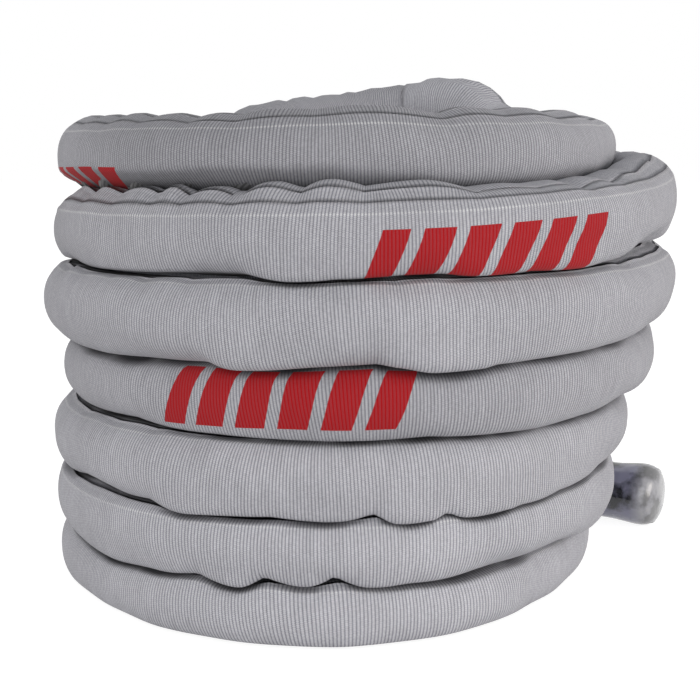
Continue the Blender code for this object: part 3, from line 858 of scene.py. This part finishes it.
# Colour, share and power of the painted shade where the cloth meets the next pass and under the top turn
PAINTED_SHADE_COLOUR = (0.02, 0.02, 0.025, 1)
PAINTED_SHADE_SHARE = 0.92
PAINTED_SHADE_POWER = 1.1
PRINT_RED = (0.3, 0.002, 0.005, 1)
PRINT_WEAR = 0.12


def share_along(turn):
    """Share of the rope's length at a count of turns."""
    return float(np.interp(turn, line_turns, line_lengths)) / rope_length


grey_weave, tree, shader = new_material(
    "grey_weave", 0.8, Specular_IOR_Level=0.08, Sheen_Weight=0.04
)
along, around = uv_parts(tree)
woven = use_group(tree, weave, Along=along, Round=around)
# The ribs get the pale grey and the grooves between them a dark grey: the weave's pattern, with painted
# shade in the grooves
lit = sum_node(tree, "MULTIPLY_ADD", woven["Thread"], THREAD_SHARE, -THREAD_SHARE / 2)
lit = sum_node(tree, "MAXIMUM", sum_node(tree, "ADD", woven["Rib"], lit), 0)
lit = sum_node(tree, "POWER", lit, LIT_POWER)
grey = mix_node(tree, lit, GROOVE_SHADE_GREY, GREY_RIB)

# Clouds, streaks along the ribs, darker stretches and fleck vary the cloth's grey
cloud = object_noise(tree, CLOUD_SCALE, 3)
shade = sum_node(tree, "MULTIPLY_ADD", cloud, CLOUD_SHARE, EVEN_SHADE)
spot = tree.nodes.new("ShaderNodeCombineXYZ")
tree.links.new(sum_node(tree, "MULTIPLY", along, rope_length / STREAK_WIDTH), spot.inputs[0])
tree.links.new(sum_node(tree, "MULTIPLY", around, SLEEVE_GIRTH / STREAK_LENGTH), spot.inputs[1])
streak = new_node(tree, "ShaderNodeTexNoise", Scale=1, Detail=2)
tree.links.new(spot.outputs[0], streak.inputs["Vector"])
shade = sum_node(tree, "MULTIPLY_ADD", streak.outputs[0], STREAK_SHARE, shade)
stretch_tone = tree.nodes.new("ShaderNodeValToRGB")
stretch_tone.color_ramp.interpolation = "EASE"
stops = stretch_tone.color_ramp.elements
for count, (turn, kept) in enumerate(STRETCH_TONES):
    stop = stops[count] if count < 2 else stops.new(share_along(turn))
    stop.position = share_along(turn)
    stop.color = (kept, kept, kept, 1)
tree.links.new(along, stretch_tone.inputs[0])
shade = sum_node(tree, "MULTIPLY", shade, stretch_tone.outputs[0])
fleck = object_noise(tree, GRAIN_SCALE, 2)
fleck = sum_node(tree, "MULTIPLY_ADD", fleck, GRAIN_SHARE, 1 - GRAIN_SHARE / 2)
shade = sum_node(tree, "MULTIPLY", shade, fleck)
shade_colour = tree.nodes.new("ShaderNodeCombineColor")
for socket in shade_colour.inputs[:3]:
    tree.links.new(shade, socket)
grey = mix_node(tree, 1, grey, shade_colour.outputs[0], "MULTIPLY")

# The fold catches the light in beads, one on each rib
off_fold = sum_node(tree, "SUBTRACT", around, FOLD_SHARE)
off_fold = sum_node(tree, "MULTIPLY", off_fold, SLEEVE_GIRTH / FOLD_LINE_WIDTH)
off_fold = sum_node(tree, "MULTIPLY", off_fold, off_fold)
on_fold = sum_node(tree, "POWER", math.e, sum_node(tree, "MULTIPLY", off_fold, -1))
beads = sum_node(tree, "POWER", woven["Rib"], 2)
beads = sum_node(tree, "MULTIPLY_ADD", beads, BEAD_SHARE, BEAD_REST)
beads = sum_node(tree, "MULTIPLY", cloud, beads)
fold_light = sum_node(tree, "MULTIPLY", sum_node(tree, "MULTIPLY", on_fold, FOLD_LIGHT_SHARE), beads)
grey = mix_node(tree, fold_light, grey, FOLD_LIGHT)

# Painted shade where the cloth meets the next pass and under the top turn, then the printed bars on top,
# worn between the ribs
painted_shade_input = new_node(tree, "ShaderNodeAttribute", attribute_name="PaintedShade")
painted_shade = sum_node(tree, "POWER", painted_shade_input.outputs["Fac"], PAINTED_SHADE_POWER)
grey = mix_node(tree, sum_node(tree, "MULTIPLY", painted_shade, PAINTED_SHADE_SHARE), grey, PAINTED_SHADE_COLOUR)
printed = 0
for turn, middle_round in MARKS:
    sizes = {
        "Middle Along": share_along(turn),
        "Middle Round": middle_round,
        "Half Length": MARK_HALF_LENGTH,
        "Half Height": MARK_HALF_HEIGHT,
    }
    one = use_group(tree, mark, Along=along, Round=around, **sizes)["Mask"]
    printed = sum_node(tree, "MAXIMUM", printed, one)
worn = sum_node(tree, "MULTIPLY_ADD", woven["Rib"], PRINT_WEAR, 1 - PRINT_WEAR)
printed = sum_node(tree, "MULTIPLY", printed, worn)
tree.links.new(mix_node(tree, printed, grey, PRINT_RED), shader.inputs["Base Color"])
raised = sum_node(tree, "MULTIPLY_ADD", woven["Thread"], THREAD_RAISE, woven["Rib"])
add_bump(tree, shader, raised, 0.35, 0.35 * MM)
woven_sleeve = add_piece("sleeve", sleeve_shape, [grey_weave], "grey_weave", "woven_sleeve")


# Laid rope
# Three strands of black synthetic yarn laid round each other, with a right-hand lay. They lie on
# the floor of the sleeve, and each runs whole from the one boot to the other.
LAY_LENGTH = 115 * MM
STRAND_RADIUS = 8.7 * MM
STRAND_OFFSET = 10.1 * MM
STRAND_SIDES = 12
STRAND_RINGS = 1280
REST_ROOM = 1 * MM
YARNS = 14
BLACK_FIBRE = (0.03, 0.03, 0.032, 1)
FIBRE_SHEEN = (0.09, 0.09, 0.095, 1)

black_fibre, tree, shader = new_material("black_fibre", 0.6, Sheen_Weight=0.2)
along, around = uv_parts(tree)
yarn = sum_node(tree, "MULTIPLY", along, 2 * math.tau * rope_length / LAY_LENGTH)
yarn = sum_node(tree, "ADD", yarn, sum_node(tree, "MULTIPLY", around, math.tau * YARNS))
yarn = half_cosine(tree, sum_node(tree, "COSINE", yarn))
tree.links.new(mix_node(tree, yarn, BLACK_FIBRE, FIBRE_SHEEN), shader.inputs["Base Color"])
add_bump(tree, shader, yarn, 0.6, 0.6 * MM)
strand_lengths = np.linspace(0, rope_length, STRAND_RINGS)
rope_line = at_lengths(strand_lengths, settled_line)
rope_outs, rope_ups = ring_frames(rope_line)
rope_gathers = at_lengths(strand_lengths, line_gathers)
rope_floors = np.interp(strand_lengths, sleeve_lengths, sleeve_floors)
rope_sags = rope_floors - SLEEVE_WALL - REST_ROOM - ROPE_RADIUS
rope_sags = np.maximum(rope_sags, 0) * (1 - rope_gathers)
rope_middle = rope_line - rope_ups * rope_sags[:, None]
strand_rounds = np.linspace(0, 1, STRAND_SIDES + 1)
for strand in range(3):
    lay = math.tau * (strand / 3 + strand_lengths / LAY_LENGTH)
    middle = rope_middle + STRAND_OFFSET * (
        rope_outs * np.cos(lay)[:, None] + rope_ups * np.sin(lay)[:, None]
    )
    angles = math.tau * strand_rounds[None] + lay[:, None]
    skin = (
        middle[:, None]
        + STRAND_RADIUS * rope_outs[:, None] * np.cos(angles)[..., None]
        + STRAND_RADIUS * rope_ups[:, None] * np.sin(angles)[..., None]
    )
    wraps = np.broadcast_arrays(strand_lengths[:, None] / rope_length, strand_rounds[None])
    wraps = np.stack(wraps, axis=-1)
    strand_shape = bmesh.new()
    rolled_sheet(strand_shape, skin, wraps)
    open_edges = [edge for edge in strand_shape.edges if edge.is_boundary]
    bmesh.ops.holes_fill(strand_shape, edges=open_edges)
    bmesh.ops.recalc_face_normals(strand_shape, faces=strand_shape.faces)
    name, node = f"laid_strand_{strand + 1}", f"strand_{strand + 1}"
    add_piece(name, strand_shape, [black_fibre], "black_fibre", node)


# End wraps
# A few turns of black cloth tape, stuck round each cut end of the rope under its boot, so that the
# strands can't fray.
TAPE_RADIUS = 19.6 * MM
TAPE_RISE = 0.35 * MM
TAPE_TURN = 12 * MM
TAPE_STEP_SHARE = 0.9
TAPE_SIDES = 40
TAPE_DARK = (0.01, 0.01, 0.01, 1)
TAPE_LIGHT = (0.03, 0.03, 0.03, 1)

black_tape, tree, shader = new_material("black_tape", 0.45)
cloth = mix_node(tree, object_noise(tree, 900, 2), TAPE_DARK, TAPE_LIGHT)
tree.links.new(cloth, shader.inputs["Base Color"])


def boot_frame(mouth, way):
    """Turns a shape made along X onto a boot's axis, with its mouth at X = 0."""
    way = Vector(way)
    up = (Vector((0, 0, 1)) - way * way.z).normalized()
    turn = Matrix((way, up.cross(way), up)).transposed().to_4x4()
    return Matrix.Translation(mouth) @ turn


def turned(outline, sides, closed):
    """A body turned about the X axis from an outline of places along the axis and off it."""
    shape = bmesh.new()
    corners = [shape.verts.new((far, 0, radius)) for far, radius in outline]
    followers = corners[1:] + corners[:1] if closed else corners[1:]
    geometry = corners + [shape.edges.new(pair) for pair in zip(corners, followers)]
    bmesh.ops.spin(
        shape,
        geom=geometry,
        cent=(0, 0, 0),
        axis=(1, 0, 0),
        angle=math.tau,
        steps=sides,
        use_merge=True,
    )
    bmesh.ops.remove_doubles(shape, verts=shape.verts, dist=WELD)
    bmesh.ops.recalc_face_normals(shape, faces=shape.faces)
    return shape


boots = (("lower", lower_mouth, boot_way), ("upper", upper_mouth, upper_way))
for name, mouth, way in boots:
    near, far = ROPE_END_IN_BOOT - TAPE_LENGTH, ROPE_END_IN_BOOT
    outline = [(near, TAPE_RADIUS)]
    reach = near
    while reach + TAPE_TURN < far:
        outline.append((reach + TAPE_TURN * TAPE_STEP_SHARE, TAPE_RADIUS))
        outline.append((reach + TAPE_TURN, TAPE_RADIUS + TAPE_RISE))
        reach += TAPE_TURN
    outline.append((far, TAPE_RADIUS))
    outline += [(far, TAPE_RADIUS - TAPE_RISE), (near, TAPE_RADIUS - TAPE_RISE)]
    tape_shape = turned(outline, TAPE_SIDES, closed=True)
    bmesh.ops.transform(tape_shape, matrix=boot_frame(mouth, way), verts=tape_shape.verts)
    piece = add_piece(f"{name}_end_wrap", tape_shape, [black_tape], "black_tape", f"end_tape_{name}")


# Boots
# A heavy heat-shrunk tube over each end of the rope, with a closed round end. It is glossy and dark,
# drawn in between its mouth and its tip, and dented where it shrank onto the strands. It has painted
# reflections in pale patches, and a painted highlight at its tip.
BOOT_BORE_RADIUS = 22.75 * MM
BOOT_TIP_WALL = 6 * MM
BOOT_SIDES = 64
BOOT_OUTLINE = MM * np.array(
    [
        (0, 22.75), (0, 24.6), (0.6, 25.2), (2, 25.6), (5, 25.7), (7, 25.3), (10, 25.0),
        (25, 24.95), (40, 24.9), (55, 24.85), (70, 24.75), (82, 24.6), (94, 24.3), (104, 23.9),
        (112, 23.7), (119, 23.9), (126, 24.6), (132, 25.2), (137, 25.5), (141, 25.3), (145, 24.5),
        (148, 23.0), (150.3, 20.8), (151.8, 17.8), (152.9, 13), (153.9, 7.5), (154.6, 3.0),
        (155, 0),
    ]
)
DENT_DEPTH = 0.55 * MM
STRAND_DENTS, ROUND_DENTS = 0.6, 0.4
ROUND_DENT_STEP = 17 * MM
SMEAR_SCALE, RIPPLE_SCALE = 42, 70
PATCHES_FROM, PATCHES_TO = 0.44, 0.58
TIP_FROM, TIP_TO = 0.87, 0.94
TIP_HIGHLIGHT_SHARE, TIP_HIGHLIGHT_REST = 0.5, 0.4
ROUGH_SHARE, ROUGH_REST = 0.25, 0.1
SLATE = (0.008, 0.009, 0.014, 1)
# Colours of the painted reflection patches and of the painted highlight on the tip
SLATE_REFLECTION = (0.2, 0.2, 0.28, 1)
TIP_HIGHLIGHT = (0.33, 0.33, 0.34, 1)

slate_boot, tree, shader = new_material("slate_boot", 0.2, Coat_Weight=0.35, Coat_Roughness=0.08)
smear = object_noise(tree, SMEAR_SCALE, 5)
# Pale patches from the noise are painted reflections on the glossy boot
patches = new_node(tree, "ShaderNodeMapRange", From_Min=PATCHES_FROM, From_Max=PATCHES_TO)
tree.links.new(smear, patches.inputs[0])
reached = new_node(tree, "ShaderNodeAttribute", attribute_name="Reach")
tip = new_node(tree, "ShaderNodeMapRange", From_Min=TIP_FROM, From_Max=TIP_TO)
tree.links.new(reached.outputs["Fac"], tip.inputs[0])
# The tip gets a painted highlight, mottled by the same patches
tip_highlight = sum_node(tree, "MULTIPLY_ADD", patches.outputs[0], TIP_HIGHLIGHT_SHARE, TIP_HIGHLIGHT_REST)
tip_highlight = sum_node(tree, "MULTIPLY", tip_highlight, tip.outputs[0])
slate = mix_node(tree, patches.outputs[0], SLATE, SLATE_REFLECTION)
tree.links.new(mix_node(tree, tip_highlight, slate, TIP_HIGHLIGHT), shader.inputs["Base Color"])
rough = sum_node(tree, "MULTIPLY_ADD", smear, ROUGH_SHARE, ROUGH_REST)
tree.links.new(rough, shader.inputs["Roughness"])
add_bump(tree, shader, object_noise(tree, RIPPLE_SCALE, 2), 0.9, 2 * MM)

for name, mouth, way in boots:
    bore = [(BOOT_LENGTH - BOOT_TIP_WALL, 0), (BOOT_LENGTH - BOOT_TIP_WALL, BOOT_BORE_RADIUS)]
    boot_shape = turned([*bore, *BOOT_OUTLINE], BOOT_SIDES, closed=False)
    reach_layer = boot_shape.verts.layers.float.new("Reach")
    for vertex in boot_shape.verts:
        far, side, up = vertex.co
        vertex[reach_layer] = far / BOOT_LENGTH
        radius = math.hypot(side, up)
        if radius > BOOT_BORE_RADIUS + MM / 10 and far > MM:
            angle = math.atan2(up, side)
            lay = 3 * (angle - math.tau * far / LAY_LENGTH)
            dent = STRAND_DENTS * math.cos(lay)
            dent += ROUND_DENTS * math.cos(2 * angle + far / ROUND_DENT_STEP)
            drawn_in = DENT_DEPTH * (dent - 1) / 2 * math.sin(math.pi * min(far / BOOT_LENGTH, 1))
            vertex.co.y += side / radius * drawn_in
            vertex.co.z += up / radius * drawn_in
    bmesh.ops.transform(boot_shape, matrix=boot_frame(mouth, way), verts=boot_shape.verts)
    piece = add_piece(f"{name}_boot", boot_shape, [slate_boot], "slate_boot", f"grip_boot_{name}")


# Floor and light
# A white floor under a white surround, with broad soft lamps from the front and both sides. The
# floor and the surround are seen as white, and the floor keeps a faint shadow under the coil.
FLOOR_SIZE = 12
FLOOR_DROP = 0.2 * MM
FLOOR_PALE = (0.8, 0.8, 0.8, 1)
FLOOR_SEEN = (0.3, 0.3, 0.3, 1)
FLOOR_GLOW = 0.9
WHITE = (1, 1, 1, 1)
AMBIENT = 0.6
LAMP_AIM = Vector((0, 0, 0.18))
floor_shape = bmesh.new()
bmesh.ops.create_grid(floor_shape, x_segments=1, y_segments=1, size=FLOOR_SIZE)
bmesh.ops.translate(floor_shape, verts=floor_shape.verts, vec=(0, 0, -FLOOR_DROP))
floor_mesh = bpy.data.meshes.new("floor")
floor_shape.to_mesh(floor_mesh)
floor_shape.free()
floor = bpy.data.objects.new("floor", floor_mesh)
bpy.context.scene.collection.objects.link(floor)
pale_floor = bpy.data.materials.new("pale_floor")
pale_floor.use_nodes = True
tree = pale_floor.node_tree
tree.nodes.remove(tree.nodes["Principled BSDF"])
matt = new_node(tree, "ShaderNodeBsdfDiffuse", Color=FLOOR_PALE)
faint = new_node(tree, "ShaderNodeBsdfDiffuse", Color=FLOOR_SEEN)
glow = new_node(tree, "ShaderNodeEmission", Color=WHITE, Strength=FLOOR_GLOW)
both = tree.nodes.new("ShaderNodeAddShader")
tree.links.new(faint.outputs[0], both.inputs[0])
tree.links.new(glow.outputs[0], both.inputs[1])
pick = tree.nodes.new("ShaderNodeMixShader")
tree.links.new(looked_at(tree), pick.inputs[0])
tree.links.new(matt.outputs[0], pick.inputs[1])
tree.links.new(both.outputs[0], pick.inputs[2])
tree.links.new(pick.outputs[0], tree.nodes["Material Output"].inputs["Surface"])
floor_mesh.materials.append(pale_floor)

surround = bpy.data.worlds.new("surround")
surround.use_nodes = True
bpy.context.scene.world = surround
tree = surround.node_tree
backdrop = tree.nodes["Background"]
backdrop.inputs["Color"].default_value = WHITE
strength = sum_node(tree, "MULTIPLY_ADD", looked_at(tree), 1 - AMBIENT, AMBIENT)
tree.links.new(strength, backdrop.inputs["Strength"])

LAMPS = (
    ("front_lamp", (0.1, -1.9, 0.5), 1.4, 15, (1, 1, 1)),
    ("left_lamp", (-1.7, -0.9, 0.1), 1.2, 14, (1, 0.96, 0.91)),
    ("right_lamp", (1.7, -0.8, 0.15), 1.2, 25, (1, 0.95, 0.89)),
)
for name, spot, size, power, colour in LAMPS:
    lamp = bpy.data.lights.new(name, "AREA")
    lamp.size = size
    lamp.energy = power
    lamp.color = colour
    lamp_object = bpy.data.objects.new(name, lamp)
    lamp_object.location = spot
    lamp_object.rotation_euler = (LAMP_AIM - Vector(spot)).to_track_quat("-Z", "Y").to_euler()
    bpy.context.scene.collection.objects.link(lamp_object)

bpy.context.scene.view_settings.view_transform = "Standard"
